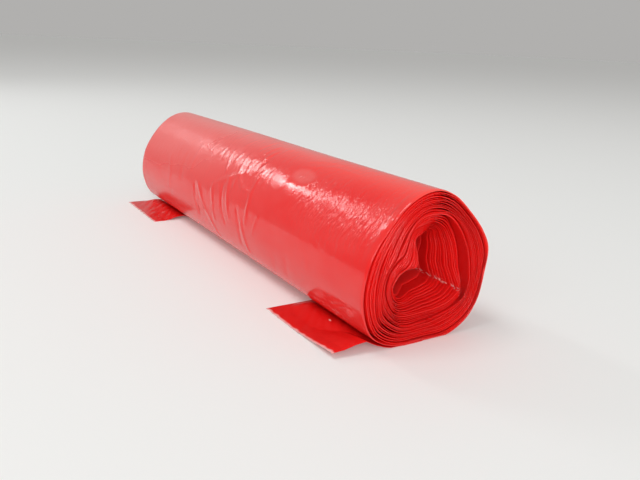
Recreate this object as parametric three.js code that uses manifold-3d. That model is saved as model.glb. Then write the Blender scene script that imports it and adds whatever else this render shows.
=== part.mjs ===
// A roll of bin bags with tie handles, lying on its side, in millimetres.
// X runs along the roll, the loose end points to -Y, Z is up and the floor is at Z = 0.
// The bags are one long film tube, folded to the width of the roll, wound up without a core and
// torn off at a perforation. The film is one continuous piece, so the whole roll is one solid: the
// winding with its bore, its turns on both ends, and the two handles of the outermost bag.

import * as THREE from "three";
import { mergeVertices } from "three/addons/utils/BufferGeometryUtils.js";
import Module from "manifold-3d";

const wasm = await Module();
wasm.setup();

// Sizes of the winding. The soft roll has sagged, so it is about as deep as it is high.
const ROLL_LENGTH = 300;
const ROLL_DEPTH = 70;
const ROLL_HEIGHT = 69;

// Sizes of the bore, which the windings have folded into, and where its middle lies.
const BORE_DEPTH = 30;
const BORE_HEIGHT = 28;
const BORE_MIDDLE_Y = 1.5;
const BORE_MIDDLE_Z = 34.5;

// Turns that show on the ends, each a bunch of several windings, and how far the innermost is drawn in.
const TURNS = 12;
const DRAWN_IN = 9;

// Sizes of the loose end: two handles, each torn off across at its perforation.
const HANDLE_WIDTH = 63;
const HANDLE_REACH = 11;
const HANDLE_THICKNESS = 1;
const HANDLE_UNDER_ROLL = 30;
const TOOTH_COUNT = 10;
const TOOTH_DEPTH = 1.6;

// Fineness of the surface: steps round the winding.
const STEPS_ROUND = 64;

// The two outlines are seen from the +X end, with +Y to the right, and run anticlockwise from the
// middle of the underside. Each pair is a share of the outline's half depth and half height. Points
// with the same number face each other through the wall of the winding.
const OUTER_SHAPE = [
  [0.0, -1.0], [0.4, -1.0], [0.73, -0.83], [0.91, -0.56], [0.98, -0.2], [1.0, 0.14], [0.86, 0.41],
  [0.62, 0.67], [0.33, 0.91], [0.02, 1.0], [-0.3, 0.91], [-0.6, 0.66], [-0.85, 0.3], [-0.96, -0.05],
  [-1.0, -0.38], [-0.92, -0.71], [-0.7, -0.92], [-0.4, -1.0],
];
const BORE_SHAPE = [
  [0.1, -0.84], [0.5, -0.83], [0.85, -0.82], [1.0, -0.68], [0.99, -0.42], [0.87, -0.05], [0.75, 0.32],
  [0.6, 0.68], [0.35, 0.93], [0.1, 1.0], [-0.12, 0.86], [-0.2, 0.6], [-0.1, 0.2], [0.0, -0.06],
  [-0.45, -0.22], [-0.88, -0.4], [-1.0, -0.76], [-0.62, -1.0],
];

// Points round a smooth closed curve through a shape's points, fitted to the given size and middle in
// the YZ plane. The curve goes no lower than its lowest point, so a flat underside stays flat.
function outline(shape, depth, height, middleY, middleZ) {
  const lowest = Math.min(...shape.map(([, z]) => z));
  const corners = shape.map(([y, z]) => new THREE.Vector3(0, y, z));
  const points = new THREE.CatmullRomCurve3(corners, true).getPoints(STEPS_ROUND);
  for (const point of points) point.z = Math.max(point.z, lowest);
  const box = new THREE.Box3().setFromPoints(points);
  const size = box.getSize(new THREE.Vector3());
  const middle = box.getCenter(new THREE.Vector3());
  for (const point of points) {
    point.y = middleY + ((point.y - middle.y) / size.y) * depth;
    point.z = middleZ + ((point.z - middle.z) / size.z) * height;
  }
  return points;
}

// How far from the middle of the roll a turn ends: the outermost is flush with the roll's length,
// and the following ones are drawn in more and more, down to the innermost.
function turnEnd(turn) {
  const inward = THREE.MathUtils.smoothstep(turn, 1, TURNS);
  return ROLL_LENGTH / 2 - DRAWN_IN * inward;
}

// The steps of the end face at one place round the roll, from the skin to the bore. Each step is
// one turn with its two edges. The edges move inwards by one turn on the way round, so that the
// steps form one spiral.
function endSteps(round) {
  const steps = [];
  for (let turn = 0; turn <= TURNS; turn++) {
    const outerEdge = Math.max(0, turn - 1 + round) / TURNS;
    const innerEdge = Math.min(TURNS, turn + round) / TURNS;
    const end = turnEnd(turn + round);
    steps.push({ depth: outerEdge, end }, { depth: innerEdge, end });
  }
  return steps;
}

// A solid from a surface that closes on itself. Faces that have shrunk to a line are left out.
function solidFromSurface(positions, faces) {
  const loose = new THREE.BufferGeometry();
  loose.setAttribute("position", new THREE.Float32BufferAttribute(positions, 3));
  loose.setIndex(faces);
  const merged = mergeVertices(loose, 1e-3);
  const index = merged.index.array;
  const triVerts = [];
  for (let i = 0; i < index.length; i += 3) {
    const [a, b, c] = [index[i], index[i + 1], index[i + 2]];
    if (a !== b && b !== c && c !== a) triVerts.push(a, b, c);
  }
  return new wasm.Manifold(
    new wasm.Mesh({
      numProp: 3,
      vertProperties: merged.attributes.position.array,
      triVerts: new Uint32Array(triVerts),
    }),
  );
}

// The winding: at each place round the roll, a strip runs over the +X end's steps from the skin to
// the bore, along the bore, over the -X end's steps and back along the skin.
function winding() {
  const skin = outline(OUTER_SHAPE, ROLL_DEPTH, ROLL_HEIGHT, 0, ROLL_HEIGHT / 2);
  const bore = outline(BORE_SHAPE, BORE_DEPTH, BORE_HEIGHT, BORE_MIDDLE_Y, BORE_MIDDLE_Z);
  const positions = [];
  for (let i = 0; i <= STEPS_ROUND; i++) {
    const steps = endSteps(i / STEPS_ROUND);
    const strip = [
      ...steps,
      ...steps.toReversed().map(({ depth, end }) => ({ depth, end: -end })),
    ];
    for (const { depth, end } of strip) {
      const place = skin[i].clone().lerp(bore[i], depth);
      positions.push(end, place.y, place.z);
    }
  }
  const across = 4 * (TURNS + 1);
  const faces = [];
  for (let i = 0; i < STEPS_ROUND; i++) {
    for (let j = 0; j < across; j++) {
      const next = (j + 1) % across;
      const [a, b] = [i * across + j, i * across + next];
      const [c, d] = [a + across, b + across];
      faces.push(a, c, b, b, c, d);
    }
  }
  return solidFromSurface(positions, faces);
}

// One handle lies flat on the floor. It starts under the roll and ends in the teeth of the torn
// perforation. Its outline is drawn in the floor plane and given the film's folded thickness.
function handle(startX) {
  const tipY = -ROLL_DEPTH / 2 - HANDLE_REACH;
  const rootY = -ROLL_DEPTH / 2 + HANDLE_UNDER_ROLL;
  const pitch = HANDLE_WIDTH / TOOTH_COUNT;
  const outline = new THREE.Shape();
  outline.moveTo(startX + HANDLE_WIDTH, rootY);
  outline.lineTo(startX, rootY);
  outline.lineTo(startX, tipY);
  for (let tooth = 0; tooth < TOOTH_COUNT; tooth++) {
    const left = startX + tooth * pitch;
    outline.lineTo(left + pitch / 2, tipY + TOOTH_DEPTH);
    outline.lineTo(left + pitch, tipY);
  }
  outline.closePath();
  const slab = new THREE.ExtrudeGeometry(outline, { depth: HANDLE_THICKNESS, bevelEnabled: false });
  slab.deleteAttribute("normal");
  slab.deleteAttribute("uv");
  const merged = mergeVertices(slab);
  return solidFromSurface(Array.from(merged.attributes.position.array), Array.from(merged.index.array));
}

function bagRoll() {
  const halfLength = ROLL_LENGTH / 2;
  const solid = winding()
    .add(handle(-halfLength))
    .add(handle(halfLength - HANDLE_WIDTH));
  const made = solid.getMesh();
  const geometry = new THREE.BufferGeometry();
  geometry.setAttribute("position", new THREE.BufferAttribute(made.vertProperties, 3));
  geometry.setIndex(new THREE.BufferAttribute(made.triVerts, 1));
  const film = new THREE.MeshStandardMaterial({ color: 0xd9322f, roughness: 0.28, metalness: 0 });
  const mesh = new THREE.Mesh(geometry, film);
  mesh.name = "bag_roll";
  return mesh;
}

// The origin is under the middle of the whole part, with the handles counted in.
const part = new THREE.Group();
const roll = bagRoll();
roll.position.y = HANDLE_REACH / 2;
part.add(roll);

export default part;
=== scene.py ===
"""Looks of a roll of bin bags with tie handles, lying on its side.

X runs along the roll, the loose handles point to -Y, Z is up and the floor is at Z = 0, in metres.
The web of film is wound in one spiral: a place on it is given by its turn, counted from the loose
end inwards, and by its distance along X.
"""
import math

import bpy
import numpy as np
from mathutils import Matrix, Vector


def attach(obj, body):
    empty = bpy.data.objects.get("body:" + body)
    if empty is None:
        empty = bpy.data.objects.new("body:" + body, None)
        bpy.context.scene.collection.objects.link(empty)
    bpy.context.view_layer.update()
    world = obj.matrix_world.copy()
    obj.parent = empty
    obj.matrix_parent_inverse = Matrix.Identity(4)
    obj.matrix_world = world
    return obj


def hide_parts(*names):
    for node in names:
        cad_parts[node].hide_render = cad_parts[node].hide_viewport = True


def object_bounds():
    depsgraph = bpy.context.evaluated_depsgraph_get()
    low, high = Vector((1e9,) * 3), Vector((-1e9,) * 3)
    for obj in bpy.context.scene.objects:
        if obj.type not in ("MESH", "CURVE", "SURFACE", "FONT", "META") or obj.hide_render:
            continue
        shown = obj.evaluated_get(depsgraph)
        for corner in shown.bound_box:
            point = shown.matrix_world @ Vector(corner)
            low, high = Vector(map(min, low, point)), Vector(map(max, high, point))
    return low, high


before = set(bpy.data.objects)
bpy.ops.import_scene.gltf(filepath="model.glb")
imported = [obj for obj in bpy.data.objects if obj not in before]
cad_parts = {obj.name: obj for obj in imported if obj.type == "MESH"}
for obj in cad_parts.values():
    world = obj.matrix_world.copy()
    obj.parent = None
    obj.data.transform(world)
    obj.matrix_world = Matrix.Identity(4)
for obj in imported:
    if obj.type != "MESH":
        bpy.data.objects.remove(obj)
cad_low, cad_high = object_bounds()

MM = 0.001

# Sizes of the roll, in metres. The section's middle lies behind the part's own middle, because the
# handles are counted in the part's box.
ROLL_LENGTH = cad_high[0] - cad_low[0]
ROLL_HEIGHT = cad_high[2] - cad_low[2]
ROLL_DEPTH = 70 * MM
SECTION_Y = cad_high[1] - ROLL_DEPTH / 2
HALF_LENGTH = ROLL_LENGTH / 2

# The winding: its turns between skin and bore, the two turns between them that have an outline of
# their own, the way round the skin, and the skin's thickness.
WINDINGS = 28
BROAD_LIP_TURN = 12
INNER_TURN = 17
ROUND_THE_SKIN = 225 * MM
SKIN_FILM = 0.35 * MM
# The wound film is made in two pieces that meet at a turn, with some steps to a turn.
MIDDLE_TURN = 14.5
STEPS_PER_TURN = 120

# Windings lie in bunches. Each wave of their depth has an amount in turns, a length in turns and a
# phase, and the waves fade out over some turns at the skin and at the bore.
BUNCHES = [(0.16, 3.4, 0), (0.10, 2.2, 1)]
BUNCH_FADE = 1.5

# The film's share of a winding's pitch, and the loose windings: turn, width in turns, and by how
# much their share is less.
FILM_SHARE = 0.64
LOOSE_WINDINGS = [(2.3, 0.55, 0.35), (7.1, 0.5, 0.35)]

# Unrest of the windings: the turns over which it begins, those over which it calms down, and by how
# much it does.
UNREST_BEGINS = (1.0, 6.0)
UNREST_CALMS = (12.0, 16.0)
CALMER_BY = 0.8
# An edge runs in and out by RAGGED, and about every other one ends up to twice EVERY_OTHER further
# in. Near the edges a winding leans by a part of a turn, and as a whole it sways by another.
RAGGED = 0.45 * MM
EVERY_OTHER = 0.35 * MM
EVERY_OTHER_BEGINS = (3.0, 6.0)
LEAN = 0.2
LEAN_REACH = 5 * MM
SWAY = 0.1

# Noise drifts by chance: its phase per metre along X and per turn, at the most.
DRIFT_ALONG = 40
DRIFT_PER_TURN = 0.9

# The loose handles: flat sheets that run from their torn tip to their root under the roll.
HANDLE_WIDTH = 63 * MM
HANDLE_TIP_Y = cad_low[1]
HANDLE_ROOT_Y = SECTION_Y - 8 * MM
HANDLE_FILM = 0.22 * MM
# Its grid, whose rows lie closer together towards the tear by a power.
HANDLE_COLUMNS, HANDLE_ROWS = 121, 60
HANDLE_ROW_POWER = 1.5
TOOTH_COUNT = 10
TOOTH_DEPTH = 0.75 * MM
# The film rises in a foot to the roll, in millimetres: its height, and the distances in front of the
# section's middle between which it rises and, under the roll, goes down again.
FOOT_HEIGHT = 2.2
FOOT_RISES = (38, 27)
FOOT_FALLS = (17, 25)
# Small waves in the film: their height in millimetres in a sprung and in a flat handle, and over
# which distance from the tear, which ones from the section's middle in millimetres, and which part
# of the width they set in.
SPRUNG_WAVES = 0.4
FLAT_WAVES = 0.25
WAVES_FROM_TEAR = 8 * MM
WAVES_FROM_MIDDLE = (16, 30)
LIFTS_ACROSS = (0, 0.12)
# The near handle has sprung up along its outer edge, and its tear has drawn in by HANDLE_TAPER. Its
# hump along Y: place from the section's middle and height off the floor, in millimetres.
HANDLE_TAPER = 3 * MM
SPRUNG_HUMP = [(-46, 2.8), (-40, 3.2), (-34.5, 4.6), (-29.5, 5.2), (-26, 3.3), (-22, 1.3), (-17, 0.0)]
SPRUNG_WIDTH = 42 * MM
SPRUNG_POWER = 1.4

# The camera's place from the middle of the section, its turn in degrees, and its focal length in
# pixels of a picture 640 wide.
CAMERA_FROM_SECTION = (352.4 * MM, -183.1 * MM, 125.2 * MM)
CAMERA_YAW = 147.9
CAMERA_PITCH = -16.63
CAMERA_ROLL = 2.61
FOCAL_PIXELS = 656.9
PICTURE_WIDTH = 640
# Its sensor's width in millimetres, and how near it still sees, in metres.
SENSOR_WIDTH = 36
CLIP_START = 0.01

# Outlines of the winding at four depths, from the skin to the bore. Each pair is a share of the
# roll's half depth and half height, seen from the +X end with +Y to the right, anticlockwise from
# the middle of the underside. Points with the same number face each other.
SKIN_SHAPE = [
    (0.0, -1.0), (0.4, -1.0), (0.73, -0.83), (0.91, -0.56), (0.98, -0.2), (1.0, 0.14), (0.86, 0.41),
    (0.62, 0.67), (0.33, 0.91), (0.02, 1.0), (-0.3, 0.91), (-0.6, 0.66), (-0.85, 0.3), (-0.96, -0.03),
    (-0.975, -0.36), (-0.875, -0.7), (-0.69, -0.9), (-0.4, -1.0),
]
BROAD_LIP_SHAPE = [
    (0.05, -0.78), (0.31, -0.75), (0.57, -0.7), (0.75, -0.58), (0.85, -0.36), (0.83, -0.08), (0.74, 0.2),
    (0.58, 0.46), (0.34, 0.64), (0.08, 0.7), (-0.14, 0.65), (-0.29, 0.5), (-0.36, 0.33), (-0.46, 0.17),
    (-0.58, 0.02), (-0.64, -0.2), (-0.6, -0.5), (-0.3, -0.76),
]
INNER_SHAPE = [
    (0.2, -0.69), (0.43, -0.66), (0.64, -0.59), (0.77, -0.49), (0.76, -0.3), (0.72, -0.11), (0.665, 0.07),
    (0.575, 0.25), (0.42, 0.42), (0.19, 0.53), (-0.03, 0.53), (-0.21, 0.47), (-0.29, 0.35), (-0.36, 0.2),
    (-0.5, 0.08), (-0.59, -0.09), (-0.58, -0.34), (-0.33, -0.65),
]
BORE_SHAPE = [
    (0.06, -0.41), (0.26, -0.38), (0.41, -0.36), (0.49, -0.33), (0.465, -0.18), (0.435, -0.05), (0.4, 0.08),
    (0.34, 0.21), (0.24, 0.33), (0.09, 0.39), (-0.04, 0.39), (-0.13, 0.36), (-0.15, 0.27), (-0.13, 0.14),
    (-0.14, 0.01), (-0.33, -0.02), (-0.45, -0.18), (-0.25, -0.41),
]
OUTLINES = [
    (0, SKIN_SHAPE), (BROAD_LIP_TURN, BROAD_LIP_SHAPE), (INNER_TURN, INNER_SHAPE), (WINDINGS, BORE_SHAPE),
]

# The inner windings have a sharp fold: its place and its width round the roll, its depth, and the
# way that it points in the YZ plane.
FOLD_PLACE = 3 / 18
FOLD_WIDTH = 0.012
FOLD_DEPTH = 1.0 * MM
FOLD_WAY = (0.8, -0.6)

# How far the windings' edges are drawn in at an end, in millimetres: places round the roll, and for
# some turns the amount at each of these places.
PLUS_X_PLACES = [0.0, 0.08, 0.167, 0.25, 0.39, 0.47, 0.56, 0.72, 0.88, 0.95]
PLUS_X_DRAWN_IN = [
    (0.0, [0.0] * 10),
    (1.9, [0.2] * 10),
    (2.9, [1.0] * 10),
    (7.3, [1.3] * 10),
    (8.4, [2.4, 2.4, 2.4, 2.4, 2.2, 2.0, 1.5, 1.4, 1.5, 2.0]),
    (12.2, [2.6, 2.6, 2.6, 2.6, 2.4, 1.8, 1.2, 1.4, 1.6, 2.2]),
    (13.3, [5.0, 4.5, 6.0, 10.5, 9.5, 4.0, 2.0, 1.6, 1.8, 3.5]),
    (17.0, [5.5, 5.0, 6.5, 10.8, 10.5, 8.0, 3.5, 1.6, 1.8, 4.0]),
    (26.0, [14.0, 15.0, 19.0, 20.0, 16.0, 9.5, 4.5, 1.6, 1.8, 8.0]),
    (28.0, [24.0, 26.0, 30.0, 30.0, 22.0, 12.0, 5.0, 1.6, 1.8, 12.0]),
]
MINUS_X_PLACES = [0.0, 0.25, 0.5, 0.75]
MINUS_X_DRAWN_IN = [
    (0.0, [0.0] * 4),
    (3.0, [0.6, 0.5, 0.4, 0.7]),
    (11.0, [1.5, 2.5, 2.2, 1.2]),
    (17.0, [3.0, 5.0, 4.5, 2.0]),
    (23.0, [6.0, 8.0, 7.0, 4.0]),
    (28.0, [13.0, 14.0, 12.0, 9.0]),
]
# How much of the way between two of the places is eased in and out.
EASED = 0.2

# Places where the windings are crumpled: turn, place round the roll, and millimetres to and fro. Each
# reaches over some turns, a part of the way round and a depth along X. Its waves to a round turn by
# a part of a wave from winding to winding.
CRUMPLES = [
    (9.0, 0.735, 0.36), (19.5, 0.75, 0.34), (11.8, 0.03, 0.4), (5.0, 0.45, 0.14), (15.0, 0.52, 0.18),
]
CRUMPLE_TURNS = 1.8
CRUMPLE_ROUND = 0.022
CRUMPLE_REACH = 9 * MM
CRUMPLE_WAVES = 70
CRUMPLE_PHASE = 2.4

# Creases in the skin: height and half width, and the places it runs through, as distance along X and
# distance round the roll from the middle of its underside, all in millimetres.
CREASES = [
    (0.22, 0.9, [(-41, 134), (-42, 138)]),
    (0.28, 0.8, [(-25, 133), (-26, 139)]),
    (0.28, 0.8, [(-20, 134), (-19, 140)]),
    (0.26, 0.8, [(-13, 133), (-12, 138), (-6, 145)]),
    (0.26, 0.9, [(-2, 133), (-3, 139)]),
    (0.26, 0.8, [(6, 133), (7, 140)]),
    (0.2, 0.8, [(14, 134), (16, 139)]),
    (0.2, 0.8, [(30, 134), (28, 140)]),
    (-0.34, 1.8, [(-41, 160), (-36, 170), (-32, 178)]),
    (0.38, 1.7, [(-35, 159), (-23, 170), (-13, 178), (-6, 187)]),
    (0.32, 1.5, [(-14, 157), (-9, 166), (-6, 176)]),
    (-0.34, 1.6, [(-1, 152), (3, 163), (10, 174)]),
    (0.36, 1.6, [(3, 147), (9, 158), (15, 169)]),
    (0.26, 1.3, [(9, 142), (12, 150)]),
    (-0.3, 1.5, [(24, 162), (29, 170), (30, 181)]),
    (0.36, 1.5, [(32, 168), (35, 176), (38, 184)]),
    (0.36, 1.4, [(33, 140), (34, 148), (36, 155), (37, 167)]),
    (0.26, 1.5, [(-14, 154), (-5, 150), (5, 146), (17, 142)]),
    (0.24, 1.3, [(12, 144), (21, 149), (33, 150)]),
    (-0.3, 1.5, [(28, 134), (29, 128), (32, 121)]),
    (-0.28, 1.4, [(11, 127), (14, 122), (16, 114)]),
    (0.28, 1.2, [(20, 128), (24, 120)]),
    (0.24, 1.2, [(25, 131), (30, 124), (36, 119)]),
    (0.16, 1.0, [(62, 124), (76, 119), (87, 117)]),
    (0.14, 1.0, [(68, 127), (84, 122), (103, 122)]),
    (0.16, 0.9, [(40, 144), (42, 138)]),
    (0.16, 0.9, [(59, 143), (62, 139)]),
    (0.2, 1.3, [(50, 160), (46, 171)]),
    (-0.18, 1.3, [(71, 177), (69, 186)]),
    (-0.18, 1.3, [(84, 174), (83, 184)]),
    (0.14, 1.2, [(103, 167), (102, 173)]),
    (0.22, 2.0, [(-95, 150), (-88, 160), (-86, 172)]),
    (-0.22, 2.0, [(-70, 146), (-66, 160)]),
    (0.2, 1.8, [(-58, 138), (-54, 152)]),
    (0.12, 1.0, [(120, 141), (126, 148)]),
]
# A shallow dimple in the skin: place along X and round the roll, half sizes and depth, in millimetres.
DIMPLE = (70, 133, 11, 4.5, 0.25)
# A flattened place in the skin, in millimetres: between which places along X it sets in, its place
# and half width round the roll, and its depth.
FLATTENED = (136, 145, 139, 6, 0.3)

# Faint creases all over: how many, and the seed that they are drawn from. The pairs are the lowest
# and the highest value that one may have, in millimetres.
FAINT_CREASES = 110
FAINT_SEED = 21
FAINT_ALONG = (-140, 140)
FAINT_ROUND = (20, 206)
FAINT_HALF_LENGTH = (3, 9)
FAINT_WIDTH = (0.8, 1.5)
FAINT_HEIGHT = (0.06, 0.16)
FAINT_SLANT = 0.5
# They are weaker on the smooth front.
SMOOTH_FRONT = (125, 190)
FRONT_STRENGTH = 0.35

# The skin's slow waves, and how far its lips bend in, in millimetres. The pairs are the places over
# which the relief sets in up the back, ends down the front and ends towards the lips, and over which
# a lip bends.
SLOW_WAVES = 0.12
LIP_BEND = 0.3
BACK_SETS_IN = (8, 30)
FRONT_ENDS = (190, 208)
ENDS_AT_LIPS = (138, 149)
LIPS_BEND_FROM = (147.5, 150.5)

# A small painted glint on the near handle, a pale spot: place along X, distance from the tear, and half
# sizes, in millimetres.
HANDLE_GLINT = (117.3, 17.6, 1.3, 0.6)


# Surfaces

def closed_curve(points, places):
    """Places on a closed smooth curve: between points b and c, with a before and d after them,
    the cubic (2b + (c-a)f + (2a-5b+4c-d)ff + (3b-a-3c+d)fff) / 2, f running from 0 to 1."""
    points = np.asarray(points, float)
    run = (np.asarray(places) % 1.0) * len(points)
    start = np.floor(run).astype(int)
    f = (run - start)[..., None]
    a, b, c, d = (points[(start + k) % len(points)] for k in (-1, 0, 1, 2))
    square, cube = 2 * a - 5 * b + 4 * c - d, 3 * b - a - 3 * c + d
    return (2 * b + (c - a) * f + square * f**2 + cube * f**3) / 2


def smooth(x, low, high):
    """0 at low and 1 at high, held beyond them, and 3ff - 2fff between, f running from 0 to 1."""
    f = np.clip((x - low) / (high - low), 0, 1)
    return f * f * (3 - 2 * f)


def ripple(seed, around, along, turn, count, low, high):
    """Smooth noise between about -1 and 1: the mean of some sines whose whole waves round the roll,
    waves along X and drift from turn to turn are drawn by chance."""
    draw = np.random.default_rng(seed)
    total = 0.0
    for _ in range(count):
        waves = draw.integers(low, high + 1)
        phase = draw.uniform(0, 2 * math.pi)
        phase = phase + draw.uniform(-DRIFT_ALONG, DRIFT_ALONG) * along
        phase = phase + draw.uniform(-DRIFT_PER_TURN, DRIFT_PER_TURN) * turn
        total = total + np.sin(2 * math.pi * waves * around + phase)
    return total / math.sqrt(count)


def section(depth, around):
    """Places in the YZ plane of the winding at a depth, counted in turns from 0 at the skin: the
    skin's outline, plus the way to each next outline by the share of the depth between them. Deep
    in, the fold adds its depth times exp(-distance / width) towards the lower back corner. Nothing
    goes below the floor."""
    depth, around = np.broadcast_arrays(np.asarray(depth, float), np.asarray(around, float))
    half = np.array([ROLL_DEPTH, ROLL_HEIGHT]) / 2
    place = closed_curve(SKIN_SHAPE, around) * half
    for (above, outer), (below, inner) in zip(OUTLINES, OUTLINES[1:]):
        step = (closed_curve(inner, around) - closed_curve(outer, around)) * half
        place = place + step * np.clip((depth - above) / (below - above), 0, 1)[..., None]
    sharp = np.exp(-np.abs(around % 1.0 - FOLD_PLACE) / FOLD_WIDTH)
    fold = FOLD_DEPTH * smooth(depth, BROAD_LIP_TURN - 1, INNER_TURN) * sharp
    place = place + fold[..., None] * FOLD_WAY + (SECTION_Y, ROLL_HEIGHT / 2)
    place[..., 1] = np.maximum(place[..., 1], 0)
    return place


def depth_of(turn):
    """Depth of a turn, counted in turns: windings lie in bunches, so slow sines move it to and fro,
    and fade out at the skin and at the bore."""
    waves = 0.0
    for amount, length, phase in BUNCHES:
        waves = waves + amount * np.sin(2 * math.pi * turn / length + phase)
    fade = smooth(turn, 0, BUNCH_FADE) * (1 - smooth(turn, WINDINGS - BUNCH_FADE, WINDINGS))
    return np.clip(turn + waves * fade, 0, WINDINGS)


def film_share(turn):
    """How much of a winding's pitch is film: the film's share, less an amount where windings are
    loose that fades as exp(-((turn - place) / width)^2)."""
    share = FILM_SHARE
    for place, width, less in LOOSE_WINDINGS:
        share = share - less * np.exp(-((turn - place) / width) ** 2)
    return share


def drawn_in(places, table, turn, around):
    """How far a turn's edge is drawn in, in metres: straight between the table's turns. Between two
    neighbouring places round the roll it goes by the share f of the way, of which a part is eased to
    3ff - 2fff."""
    turns = [row[0] for row in table]
    total = 0.0
    for number in range(len(places)):
        amount = np.interp(turn, turns, [row[1][number] for row in table])
        near = np.interp(around, places, np.eye(len(places))[number], period=1)
        total = total + amount * ((1 - EASED) * near + EASED * smooth(near, 0, 1))
    return total * MM


def crumpled(turn, around):
    """The to and fro of the crumpled places: amount times exp(-distance^2) times a fast sine."""
    total = 0.0
    wave = np.sin(2 * math.pi * CRUMPLE_WAVES * around + CRUMPLE_PHASE * turn)
    for at_turn, place, amount in CRUMPLES:
        aside = (around - place + 0.5) % 1.0 - 0.5
        away = ((turn - at_turn) / CRUMPLE_TURNS) ** 2 + (aside / CRUMPLE_ROUND) ** 2
        total = total + amount * MM * np.exp(-away) * wave
    return total


def mesh_object(name, points, faces, material, uv):
    """A smooth-shaded object from points and faces, with a UV pair for each point."""
    mesh = bpy.data.meshes.new(name)
    mesh.from_pydata(points, [], faces)
    mesh.polygons.foreach_set("use_smooth", np.ones(len(mesh.polygons), bool))
    corners = np.empty(len(mesh.loops), int)
    mesh.loops.foreach_get("vertex_index", corners)
    mesh.uv_layers.new(name="film").data.foreach_set("uv", uv[corners].ravel())
    mesh.materials.append(material)
    piece = bpy.data.objects.new(name, mesh)
    bpy.context.collection.objects.link(piece)
    return piece


def grid_faces(rows, columns):
    """Four-cornered faces of a grid of points whose columns close into a ring and whose rows don't,
    with one many-cornered face on each end."""
    i = np.arange(rows - 1)[:, None] * columns
    j = np.arange(columns)[None, :]
    k = (j + 1) % columns
    sides = np.stack([i + j, i + k, i + columns + k, i + columns + j], axis=-1).reshape(-1, 4).tolist()
    ends = [list(range(columns - 1, -1, -1)), list(range((rows - 1) * columns, rows * columns))]
    return sides + ends


# The web's cut across X: distances from the edge, from the middle outwards, and the round lip.
FACE_STEPS = np.array([150, 60, 32, 20, 13, 8.5, 5.5, 3.4, 2.0, 1.1, 0.6]) * MM
LIP = [(0.3 * MM, 0.03), (0.1 * MM, 0.18), (0.0, 0.5), (0.1 * MM, 0.82), (0.3 * MM, 0.97)]


def cut_across():
    """Points of the web's cut: side (+1 or -1), distance from the edge, and place through the film
    from 0 on the outer face to 1 on the inner face. It runs from the middle along the outer face,
    round the lip and back along the inner face, and so on the other side."""
    out = [(step, 0.0) for step in FACE_STEPS]
    back = [(step, 1.0) for step in FACE_STEPS[::-1]]
    way = out + LIP + back
    plus = [(1, step, through) for step, through in way]
    minus = [(-1, step, 1 - through) for step, through in way[1:-1]]
    return np.array(plus + minus)


def wound_film(name, first, last, material):
    """Windings from the first turn to the last as one sheet. A point's depth is its turn's depth,
    plus its place through the film times the film's share of the pitch. Near its edges a winding
    leans in or out, and as a whole it sways. Its edge is drawn in by the tables, runs in and out,
    and is further in at about every other winding, by a share 1 + cos(pi turn + 3 sin(turn))."""
    turn = np.linspace(first, last, int(round((last - first) * STEPS_PER_TURN)) + 1)[:, None]
    side, from_edge, through = cut_across().T
    around = turn % 1.0
    outer = depth_of(turn)
    pitch = np.where(turn + 1 > WINDINGS, 1, depth_of(turn + 1) - outer)
    at_plus = drawn_in(PLUS_X_PLACES, PLUS_X_DRAWN_IN, turn, around)
    at_minus = drawn_in(MINUS_X_PLACES, MINUS_X_DRAWN_IN, turn, around)
    unrest = smooth(turn, *UNREST_BEGINS) * (1 - CALMER_BY * smooth(turn, *UNREST_CALMS))
    ragged = RAGGED * unrest * (1 + ripple(3, around, 0, turn * 2 + side, count=5, low=1, high=4))
    every_other = EVERY_OTHER * (1 + np.cos(math.pi * turn + 3 * np.sin(turn)))
    every_other = every_other * smooth(turn, *EVERY_OTHER_BEGINS)
    edge = HALF_LENGTH - np.where(side > 0, at_plus, at_minus) - ragged - every_other
    lean = LEAN * ripple(5, around, 0, turn * 5 + 7 * side, count=5, low=2, high=9)
    lean = lean * np.exp(-from_edge / LEAN_REACH) * unrest
    sway = SWAY * ripple(8, around, 0, turn * 0.6, count=5, low=2, high=6) * unrest
    depth = np.clip(outer + pitch * (film_share(turn) * through + lean) + sway, 0, WINDINGS)
    depth, around, edge = np.broadcast_arrays(depth, around, edge)
    yz = section(depth, around)
    yz[..., 1] = yz[..., 1] + crumpled(turn, around) * np.exp(-from_edge / CRUMPLE_REACH)
    x = side * np.maximum(edge - from_edge, 0)
    points = np.concatenate([x[..., None], yz], axis=-1).reshape(-1, 3)
    uv = np.stack([x, np.broadcast_to(turn * ROUND_THE_SKIN, x.shape)], axis=-1).reshape(-1, 2)
    return mesh_object(name, points, grid_faces(len(turn), len(side)), material, uv)


def crease(x, v, height, width, places):
    """Height of a crease at x along and v round the skin: height times exp(-(distance / width)^2),
    the distance being that to the nearest point of the straight pieces between its places."""
    nearest = np.full(x.shape, 1e9)
    for (x0, v0), (x1, v1) in zip(places, places[1:]):
        length = (x1 - x0) ** 2 + (v1 - v0) ** 2
        share = np.clip(((x - x0) * (x1 - x0) + (v - v0) * (v1 - v0)) / length, 0, 1)
        away = np.hypot(x - x0 - share * (x1 - x0), v - v0 - share * (v1 - v0))
        nearest = np.minimum(nearest, away)
    return height * np.exp(-((nearest / width) ** 2))


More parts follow.
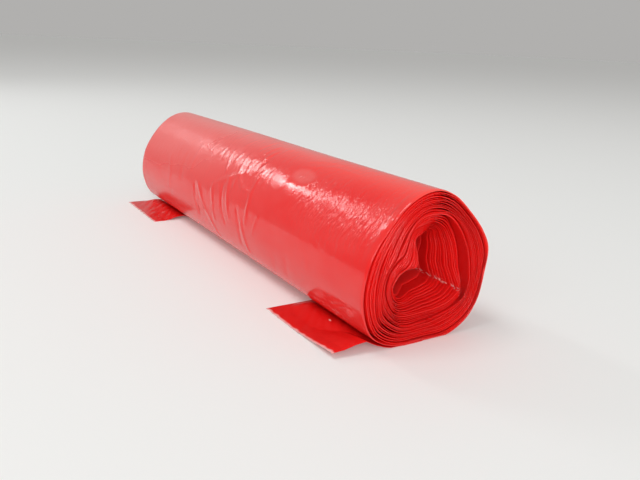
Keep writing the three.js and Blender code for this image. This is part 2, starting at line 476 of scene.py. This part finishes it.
def skin_relief(x, around):
    """How far the skin stands out, in metres: its creases, the dimple, faint creases drawn by chance,
    weaker on the front, and slow waves. These fade out towards the flat underside and the ends. The
    skin is flattened in one place near the +X end, and both lips bend in."""
    x, v = x / MM, around * ROUND_THE_SKIN / MM
    relief = sum(crease(x, v, height, width, places) for height, width, places in CREASES)
    at_x, at_v, half_x, half_v, deep = DIMPLE
    relief = relief - deep * np.exp(-(((x - at_x) / half_x) ** 2 + ((v - at_v) / half_v) ** 2) ** 2)
    draw = np.random.default_rng(FAINT_SEED)
    for _ in range(FAINT_CREASES):
        mid_x, mid_v = draw.uniform(*FAINT_ALONG), draw.uniform(*FAINT_ROUND)
        angle, half = draw.normal(0, FAINT_SLANT), draw.uniform(*FAINT_HALF_LENGTH)
        strength = FRONT_STRENGTH if SMOOTH_FRONT[0] < mid_v < SMOOTH_FRONT[1] else 1.0
        height = strength * draw.choice([-1, 1]) * draw.uniform(*FAINT_HEIGHT)
        step_x, step_v = half * math.sin(angle), half * math.cos(angle)
        ends = [(mid_x - step_x, mid_v - step_v), (mid_x + step_x, mid_v + step_v)]
        relief = relief + crease(x, v, height, draw.uniform(*FAINT_WIDTH), ends)
    relief = relief + SLOW_WAVES * ripple(31, around, x * MM, 0, count=7, low=1, high=5)
    inside = smooth(v, *BACK_SETS_IN) * (1 - smooth(v, *FRONT_ENDS))
    inside = inside * (1 - smooth(np.abs(x), *ENDS_AT_LIPS))
    sets_in, full, flat_v, flat_half, flat_deep = FLATTENED
    flattened = flat_deep * smooth(x, sets_in, full) * np.exp(-(((v - flat_v) / flat_half) ** 2))
    bend = LIP_BEND * smooth(np.abs(x), *LIPS_BEND_FROM) ** 2
    return (relief * inside - flattened - bend) * MM


# The skin's grid, finest where its creases are. Each pair is a share of the points in a row or column
# and the place that they have reached by then: the turn, or millimetres along X.
SKIN_ROWS, SKIN_COLUMNS, SKIN_INNER_COLUMNS = 321, 289, 13
SKIN_TURNS = [(0, -0.04), (0.38, 0.54), (0.86, 0.86), (1, 1.06)]
SKIN_ALONG = [(0, -150), (0.18, -62), (0.82, 62), (1, 150)]
SKIN_LIP = 0.1 * MM
# How deep the skin's inner end dips, in turns, and over which of its turns.
SKIN_DIP = 1.2
SKIN_DIPS_FROM = (0.8, 1.06)


def outer_bag(material):
    """The skin: the outermost turn and a little of the next, which dips under it. A point lies on
    the section's outline, is moved outwards by the relief and inwards by its place in the film."""
    turn = np.interp(np.linspace(0, 1, SKIN_ROWS), *zip(*SKIN_TURNS))[:, None]
    face = np.interp(np.linspace(0, 1, SKIN_COLUMNS), *zip(*SKIN_ALONG))
    face = face * HALF_LENGTH / face[-1]
    inner_face = np.linspace(HALF_LENGTH - SKIN_LIP, SKIN_LIP - HALF_LENGTH, SKIN_INNER_COLUMNS)
    lip = HALF_LENGTH + SKIN_LIP / 2
    x = np.concatenate([face, [lip], inner_face, [-lip]])
    through = np.concatenate([np.zeros_like(face), [0.5], np.ones_like(inner_face), [0.5]])
    turn, x, through = np.broadcast_arrays(turn, x, through)
    depth = SKIN_DIP * smooth(turn, *SKIN_DIPS_FROM)
    around = turn % 1.0
    yz = section(depth, around)
    way = section(depth, around + 1e-3) - section(depth, around - 1e-3)
    way = way / np.linalg.norm(way, axis=-1, keepdims=True)
    inward = np.stack([-way[..., 1], way[..., 0]], axis=-1)
    relief = skin_relief(x, around) * ((turn > 0) & (turn < 1))
    yz = yz + inward * (through * SKIN_FILM - relief)[..., None]
    yz[..., 1] = np.maximum(yz[..., 1], 0)
    points = np.concatenate([x[..., None], yz], axis=-1).reshape(-1, 3)
    uv = np.stack([x, around * ROUND_THE_SKIN], axis=-1).reshape(-1, 2)
    return mesh_object("outer_bag", points, grid_faces(*x.shape), material, uv)


def sprung_edge(x, y):
    """How high the near handle's film stands off the floor, in metres: a hump along Y, straight
    between its places, times a power of a smooth rise over its outer part along X."""
    hump = np.interp((y - SECTION_Y) / MM, *zip(*SPRUNG_HUMP))
    return hump * MM * smooth(x, HALF_LENGTH - SPRUNG_WIDTH, HALF_LENGTH) ** SPRUNG_POWER


def handle(name, start_x, sprung, material):
    """One handle from under the roll to its torn edge, which runs to and fro in teeth of uneven
    depth: a flat sheet, lifted by small waves and by a foot that rises to the roll. A sprung handle
    also lifts along its outer edge, which draws the torn corner in by the fourth power of the way
    across. The UV map's second number is the distance from the torn edge."""
    across = np.linspace(0, 1, HANDLE_COLUMNS)
    tooth = np.abs(((across * TOOTH_COUNT) % 1.0) - 0.5) * 2
    uneven = 0.6 + 0.4 * np.sin(17 * across + 1) * np.sin(31 * across)
    tip_y = HANDLE_TIP_Y + TOOTH_DEPTH * (1 - tooth) * uneven
    down = (np.linspace(0, 1, HANDLE_ROWS) ** HANDLE_ROW_POWER)[:, None]
    y = tip_y + (HANDLE_ROOT_Y - tip_y) * down
    x = start_x + HANDLE_WIDTH * across - sprung * HANDLE_TAPER * across**4 * (1 - down)
    in_front = (SECTION_Y - y) / MM
    foot = FOOT_HEIGHT * smooth(in_front, *FOOT_RISES) * smooth(in_front, *FOOT_FALLS)
    waves = np.abs(ripple(41, x / (300 * MM) + y * 4, y * 6, 0, count=9, low=2, high=24))
    waves = waves * (SPRUNG_WAVES if sprung else FLAT_WAVES) * smooth(y - tip_y, 0, WAVES_FROM_TEAR)
    lift = (waves * smooth(in_front, *WAVES_FROM_MIDDLE) + foot) * MM * smooth(across, *LIFTS_ACROSS)
    if sprung:
        lift = np.maximum(lift, sprung_edge(x, y))
    top = np.stack([x, y, lift + HANDLE_FILM], axis=-1)
    under = np.stack([x, y, lift], axis=-1)
    ring = np.concatenate([top, under[:, ::-1]], axis=1)
    from_tear = np.broadcast_to(y - tip_y, y.shape)
    uv = np.stack([x, from_tear], axis=-1)
    uv = np.concatenate([uv, uv[:, ::-1]], axis=1).reshape(-1, 2)
    faces = grid_faces(HANDLE_ROWS, 2 * HANDLE_COLUMNS)
    return mesh_object(name, ring.reshape(-1, 3), faces, material, uv)


# Materials

class Term:
    """A shader socket that takes part in sums: + - * / and ** add Math nodes."""

    def __init__(self, shader, socket):
        self.shader, self.socket = shader, socket

    def _math(self, operation, *terms):
        return self.shader.node("ShaderNodeMath", {"operation": operation}, dict(enumerate(terms)))

    def __add__(self, other):
        return self._math("ADD", self, other)

    def __radd__(self, other):
        return self._math("ADD", other, self)

    def __sub__(self, other):
        return self._math("SUBTRACT", self, other)

    def __rsub__(self, other):
        return self._math("SUBTRACT", other, self)

    def __mul__(self, other):
        return self._math("MULTIPLY", self, other)

    def __rmul__(self, other):
        return self._math("MULTIPLY", other, self)

    def __truediv__(self, other):
        return self._math("DIVIDE", self, other)

    def __rtruediv__(self, other):
        return self._math("DIVIDE", other, self)

    def __pow__(self, other):
        return self._math("POWER", self, other)

    def __rpow__(self, other):
        return self._math("POWER", other, self)


class Shader:
    """A material whose nodes are added by one method."""

    def __init__(self, name):
        self.material = bpy.data.materials.new(name)
        self.material.use_nodes = True
        self.tree = self.material.node_tree
        self.surface = self.tree.nodes["Principled BSDF"]

    def node(self, kind, settings, inputs, output=0):
        """A node of a kind: its settings are set first, then its inputs, by name or number."""
        made = self.tree.nodes.new(kind)
        for key, value in settings.items():
            setattr(made, key, value)
        for key, value in inputs.items():
            self.feed(made.inputs[key], value)
        return Term(self, made.outputs[output])

    def feed(self, socket, value):
        """Links a term to a socket, or sets the socket's own value."""
        if isinstance(value, Term):
            self.tree.links.new(value.socket, socket)
        else:
            socket.default_value = value

    def set(self, **inputs):
        """Feeds the surface's sockets, by their names with _ for a space."""
        for key, value in inputs.items():
            self.feed(self.surface.inputs[key.replace("_", " ")], value)
        return self.material


# The film's own red, the two stronger ones of many layers, a paler one for random patches and the
# dimple that also paints the reflection of the bright room on the skin's upper front, the painted
# light on the skin's top and the paler painted reflection that it turns into towards the -X end, and
# that of film that was stretched until it tore, which also paints glints on the windings' fold and
# one on the near handle.
FILM_RED = (0.74, 0.010, 0.009, 1)
DEEP_RED = (0.98, 0.014, 0.013, 1)
SHADED_RED = (0.87, 0.009, 0.009, 1)
# Paler in random patches and in the dimple, and a painted reflection of the bright room on the upper front.
PALE_PATCH_AND_SHEEN_RED = (0.78, 0.15, 0.14, 1)
# Painted light on the skin's top, and the paler painted reflection it turns into towards the -X end.
LIT_RED = (0.96, 0.083, 0.067, 1)
FAR_TOP_SHEEN_RED = (0.82, 0.22, 0.205, 1)
# Also used for the painted glints on the windings' fold and on the near handle.
STRETCHED_AND_GLINT_RED = (0.95, 0.52, 0.5, 1)


def mixed(shader, share, first, second):
    """The first colour where the share is 0 and the second where it is 1."""
    inputs = {"Factor": share, 6: first, 7: second}
    return shader.node("ShaderNodeMix", {"data_type": "RGBA", "clamp_factor": True}, inputs, 2)


def noise(shader, place, scale, detail, stretch=(1, 1, 1), turn=0.0):
    """Soft noise from 0 to 1 on a place that is turned and stretched first."""
    inputs = {"Vector": place, "Scale": stretch, "Rotation": (0, 0, turn)}
    turned = shader.node("ShaderNodeMapping", {}, inputs)
    return shader.node("ShaderNodeTexNoise", {}, {"Vector": turned, "Scale": scale, "Detail": detail})


def web_place(shader):
    """The film's own map: distance along X and along the web, and both as numbers."""
    place = shader.node("ShaderNodeUVMap", {"uv_map": "film"}, {})
    parts = shader.node("ShaderNodeSeparateXYZ", {}, {"Vector": place})
    return place, parts, Term(shader, parts.socket.node.outputs[1])


def ramp(shader, value, low, high):
    """0 at low, 1 at high and smooth between."""
    settings = {"interpolation_type": "SMOOTHSTEP"}
    inputs = {"Value": value, "From Min": low, "From Max": high}
    return shader.node("ShaderNodeMapRange", settings, inputs)


def from_oval(along, across, sizes):
    """Squared distance from the middle of an oval, counted in its half sizes, so 1 on its edge. Its
    sizes are the place of its middle and its half sizes, in millimetres."""
    middle_along, middle_across, half_along, half_across = (size * MM for size in sizes)
    return ((along - middle_along) / half_along) ** 2 + ((across - middle_across) / half_across) ** 2


# Where the looks of the skin change, in metres on its map: each pair gives the place where one sets
# in and the place where it is whole. Places round the roll count from the middle of its underside,
# and first come up the back.
OFF_THE_BACK = (0.02, 0.10)
UP_THE_FRONT = (0.168, 0.142)
# ON_THE_TOP places the painted light on the skin's top.
ON_THE_TOP = (0.135, 0.112)
SHRIVELLED_FROM_BELOW = (0.162, 0.15)
SHRIVELLED_FROM_ABOVE = (0.120, 0.132)
SHRIVELLED_ALONG = (0.06, 0.12)
SMOOTH_AT_LIP = (0.1465, 0.1435)
# HAZE_ALONG also places the painted reflection of the bright room on the upper front.
HAZE_ALONG = (0.09, -0.13)
# PALE_ALONG is where the painted light on the top turns into a paler painted reflection.
PALE_ALONG = (0.12, -0.08)


def skin_material():
    """The taut outer film: glossy, with fine crinkles in patches and shrivelled ones near the +X end.
    It is paler in random patches and in the dimple. A painted reflection of the bright room lies on
    its upper front and grows towards the -X end, and painted light lies on the top, turning into a
    paler painted reflection towards the -X end."""
    shader = Shader("taut_red_film")
    place, along, around = web_place(shader)
    patches = noise(shader, place, 26.0, 2.0, (1, 1.6, 1))
    crinkles = noise(shader, place, 420.0, 2.0, (1, 0.4, 1), 0.35)
    fine = noise(shader, place, 800.0, 2.0, (1, 0.5, 1), -0.3)
    loose = ramp(shader, patches, 0.35, 0.6)
    off_the_back = ramp(shader, around, *OFF_THE_BACK)
    above = ramp(shader, around, *UP_THE_FRONT) * off_the_back
    patchy_along = along + 0.16 * (patches - 0.5)
    towards_far_end = ramp(shader, patchy_along, *HAZE_ALONG)
    # A painted reflection of the bright room on the upper front, more and more towards the -X end.
    painted_reflection = towards_far_end * above
    towards_lip = ramp(shader, along + 0.05 * (patches - 0.5), *SHRIVELLED_ALONG)
    towards_lip = towards_lip * ramp(shader, along, *SMOOTH_AT_LIP)
    shrivelled = towards_lip * ramp(shader, around, *SHRIVELLED_FROM_BELOW)
    shrivelled = shrivelled * ramp(shader, around, *SHRIVELLED_FROM_ABOVE)
    # Painted light on the skin's top, turning into a paler painted reflection towards the -X end.
    painted_light_on_top = ramp(shader, around, *ON_THE_TOP) * off_the_back
    pocket = ramp(shader, from_oval(along, around, DIMPLE[:4]), 1.3, 0.2)
    front = mixed(shader, 0.1 * loose + 0.7 * painted_reflection + 0.4 * pocket, FILM_RED, PALE_PATCH_AND_SHEEN_RED)
    top = mixed(shader, ramp(shader, patchy_along, *PALE_ALONG), LIT_RED, FAR_TOP_SHEEN_RED)
    height = (crinkles + 0.5 * fine) * (0.12 + (0.12 + 0.5 * loose) * above + 0.8 * shrivelled)
    bump = shader.node("ShaderNodeBump", {}, {"Strength": 1.0, "Distance": 0.0004, "Height": height})
    return shader.set(
        Base_Color=mixed(shader, painted_light_on_top, front, top),
        Roughness=0.055 + (0.06 + 0.07 * patches) * above + 0.2 * towards_far_end + 0.1 * shrivelled,
        Normal=bump, IOR=1.5,
    )


# Turns over which the painted glints on the windings' fold set in and over which their film gets
# dull at the bore, and how near the fold, as a part of the way round, the painted glints start and are
# brightest.
FOLD_SETS_IN = (12.5, 14.0)
DULL_AT_BORE = (WINDINGS - 1.6, WINDINGS - 1.1)
GLINTS_AT_FOLD = (0.016, 0.002)


def wound_material():
    """The film of the windings: many layers lie close, so light goes through and comes back red. Short
    painted glints lie along its sharp fold, and it is dull in the bore."""
    shader = Shader("wound_red_film")
    place, _, around = web_place(shader)
    streaks = noise(shader, place, 60.0, 3.0, (1, 3, 1))
    layers = noise(shader, around, 4.3, 1.0)
    turns_round = around / ROUND_THE_SKIN
    part_round = shader.node("ShaderNodeMath", {"operation": "FRACT"}, {0: turns_round})
    from_fold = shader.node("ShaderNodeMath", {"operation": "ABSOLUTE"}, {0: part_round - FOLD_PLACE})
    # Painted glints in short pieces along the sharp fold of the inner windings.
    broken = ramp(shader, noise(shader, place, 330.0, 1.0), 0.5, 0.6)
    fold_glints = ramp(shader, from_fold, *GLINTS_AT_FOLD) * ramp(shader, turns_round, *FOLD_SETS_IN) * broken
    film = mixed(shader, ramp(shader, layers, 0.35, 0.65), DEEP_RED, SHADED_RED)
    height = noise(shader, place, 700.0, 2.0, (1, 0.3, 1)) + streaks
    bump = shader.node("ShaderNodeBump", {}, {"Strength": 0.25, "Distance": 0.0004, "Height": height})
    return shader.set(
        Base_Color=mixed(shader, 0.5 * fold_glints, film, STRETCHED_AND_GLINT_RED),
        Roughness=0.14 + 0.12 * streaks + 0.5 * ramp(shader, turns_round, *DULL_AT_BORE),
        Normal=bump, IOR=1.5, Specular_IOR_Level=0.3,
        Subsurface_Weight=0.8, Subsurface_Radius=(1.0, 0.08, 0.06), Subsurface_Scale=0.006,
    )


# How near the torn edge the loose film starts to pale and is palest, in metres.
PALE_AT_TEAR = (0.0016, 0.0004)


def handle_material():
    """The loose film: glossy and crinkled, stretched pale along its torn edge, and with one small painted
    glint.
    """
    shader = Shader("torn_red_film")
    place, along, from_tear = web_place(shader)
    crinkles = noise(shader, place, 160.0, 4.0, (1, 0.7, 1), 0.4)
    wavy = from_tear + 0.0006 * (crinkles - 0.5)
    stretched = ramp(shader, wavy, *PALE_AT_TEAR)
    # A painted glint in one small spot on the near handle.
    painted_glint = ramp(shader, from_oval(along, from_tear, HANDLE_GLINT), 1.0, 0.3)
    bump = shader.node("ShaderNodeBump", {}, {"Strength": 0.4, "Distance": 0.0008, "Height": crinkles})
    return shader.set(
        Base_Color=mixed(shader, 0.85 * stretched + 0.8 * painted_glint, FILM_RED, STRETCHED_AND_GLINT_RED),
        Roughness=0.14 + 0.12 * crinkles, Normal=bump, IOR=1.5, Specular_IOR_Level=0.35,
        Subsurface_Weight=0.3, Subsurface_Radius=(1.0, 0.1, 0.08), Subsurface_Scale=0.003,
    )


# The floor's tone, the warm white of its own light and of the world's, and the strengths of both.
PALE_GREY = (0.775, 0.785, 0.775, 1)
WARM_WHITE = (1.0, 0.985, 0.965, 1)
FLOOR_LIGHT = 0.08
WORLD_LIGHT = 0.44


def floor_material():
    """A pale floor that gives a little light of its own, so that shadows stay soft."""
    return Shader("pale_floor").set(
        Base_Color=PALE_GREY, Roughness=0.6, Emission_Color=WARM_WHITE, Emission_Strength=FLOOR_LIGHT,
    )


# Scene

# Soft lights: name, place, aim, the two sides of its rectangle in metres, watts, and the direction
# that the first side lies along.
LIGHTS = [
    ("window", (-1.12, -0.465, 0.78), (0.05, -0.02, 0.05), (0.42, 0.13), 2.1, (0.74, -0.35, 0.58)),
    ("overhead", (-0.1, -0.9, 2.3), (0.12, 0, 0.03), (1.2, 0.8), 17, (1, 0, 0)),
    ("side", (2.6, -1.3, 1.3), (0.1, 0, 0.03), (1.2, 1.2), 51, (1, 0, 0)),
    ("front", (1.0, -2.4, 1.4), (0.1, 0, 0.03), (1.4, 0.8), 5, (1, 0, 0)),
]
# Half the floor's side, in metres.
FLOOR_HALF = 20.0


def camera():
    """The photograph's camera: yaw from +X and pitch from the level give where it looks, and roll
    turns it about that line."""
    yaw, pitch, roll = (math.radians(a) for a in (CAMERA_YAW, CAMERA_PITCH, CAMERA_ROLL))
    look = Vector((math.cos(pitch) * math.cos(yaw), math.cos(pitch) * math.sin(yaw), math.sin(pitch)))
    level_right = look.cross(Vector((0, 0, 1))).normalized()
    level_up = level_right.cross(look)
    right = math.cos(roll) * level_right + math.sin(roll) * level_up
    up = math.cos(roll) * level_up - math.sin(roll) * level_right
    data = bpy.data.cameras.new("camera")
    data.sensor_width = SENSOR_WIDTH
    data.lens = FOCAL_PIXELS / PICTURE_WIDTH * SENSOR_WIDTH
    data.clip_start = CLIP_START
    made = bpy.data.objects.new("camera", data)
    turn = Matrix((right, up, -look)).transposed().to_4x4()
    place = Vector(CAMERA_FROM_SECTION) + Vector((0, SECTION_Y, 0))
    made.matrix_world = Matrix.Translation(place) @ turn
    bpy.context.collection.objects.link(made)
    bpy.context.scene.camera = made


def area_light(name, place, aim, size, power, along):
    """A rectangular light that faces its aim. Its first side lies as near to a direction as it can."""
    data = bpy.data.lights.new(name, "AREA")
    data.shape = "RECTANGLE"
    data.size, data.size_y = size
    data.energy = power
    made = bpy.data.objects.new(name, data)
    backward = (Vector(place) - Vector(aim)).normalized()
    up = backward.cross(Vector(along)).normalized()
    turn = Matrix((up.cross(backward), up, backward)).transposed().to_4x4()
    made.matrix_world = Matrix.Translation(place) @ turn
    bpy.context.collection.objects.link(made)


def stage():
    """A plain pale floor that fades into a world of the same tone, and soft lights."""
    half = FLOOR_HALF
    mesh = bpy.data.meshes.new("floor")
    corners = [(-half, -half, 0), (half, -half, 0), (half, half, 0), (-half, half, 0)]
    mesh.from_pydata(corners, [], [(0, 1, 2, 3)])
    mesh.materials.append(floor_material())
    floor = bpy.data.objects.new("floor", mesh)
    bpy.context.collection.objects.link(floor)
    world = bpy.data.worlds.new("world")
    bpy.context.scene.world = world
    world.use_nodes = True
    background = world.node_tree.nodes["Background"]
    background.inputs["Color"].default_value = WARM_WHITE
    background.inputs["Strength"].default_value = WORLD_LIGHT
    for name, place, aim, size, power, along in LIGHTS:
        area_light(name, place, aim, size, power, along)
    bpy.context.scene.view_settings.view_transform = "Standard"


camera()
stage()
wound, torn = wound_material(), handle_material()
pieces = [
    outer_bag(skin_material()),
    wound_film("flush_windings", 1, MIDDLE_TURN, wound),
    wound_film("drawn_in_windings", MIDDLE_TURN, WINDINGS, wound),
    handle("handle_plus_x", HALF_LENGTH - HANDLE_WIDTH, True, torn),
    handle("handle_minus_x", -HALF_LENGTH, False, torn),
]
for piece in pieces:
    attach(piece, "root")
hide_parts("bag_roll")
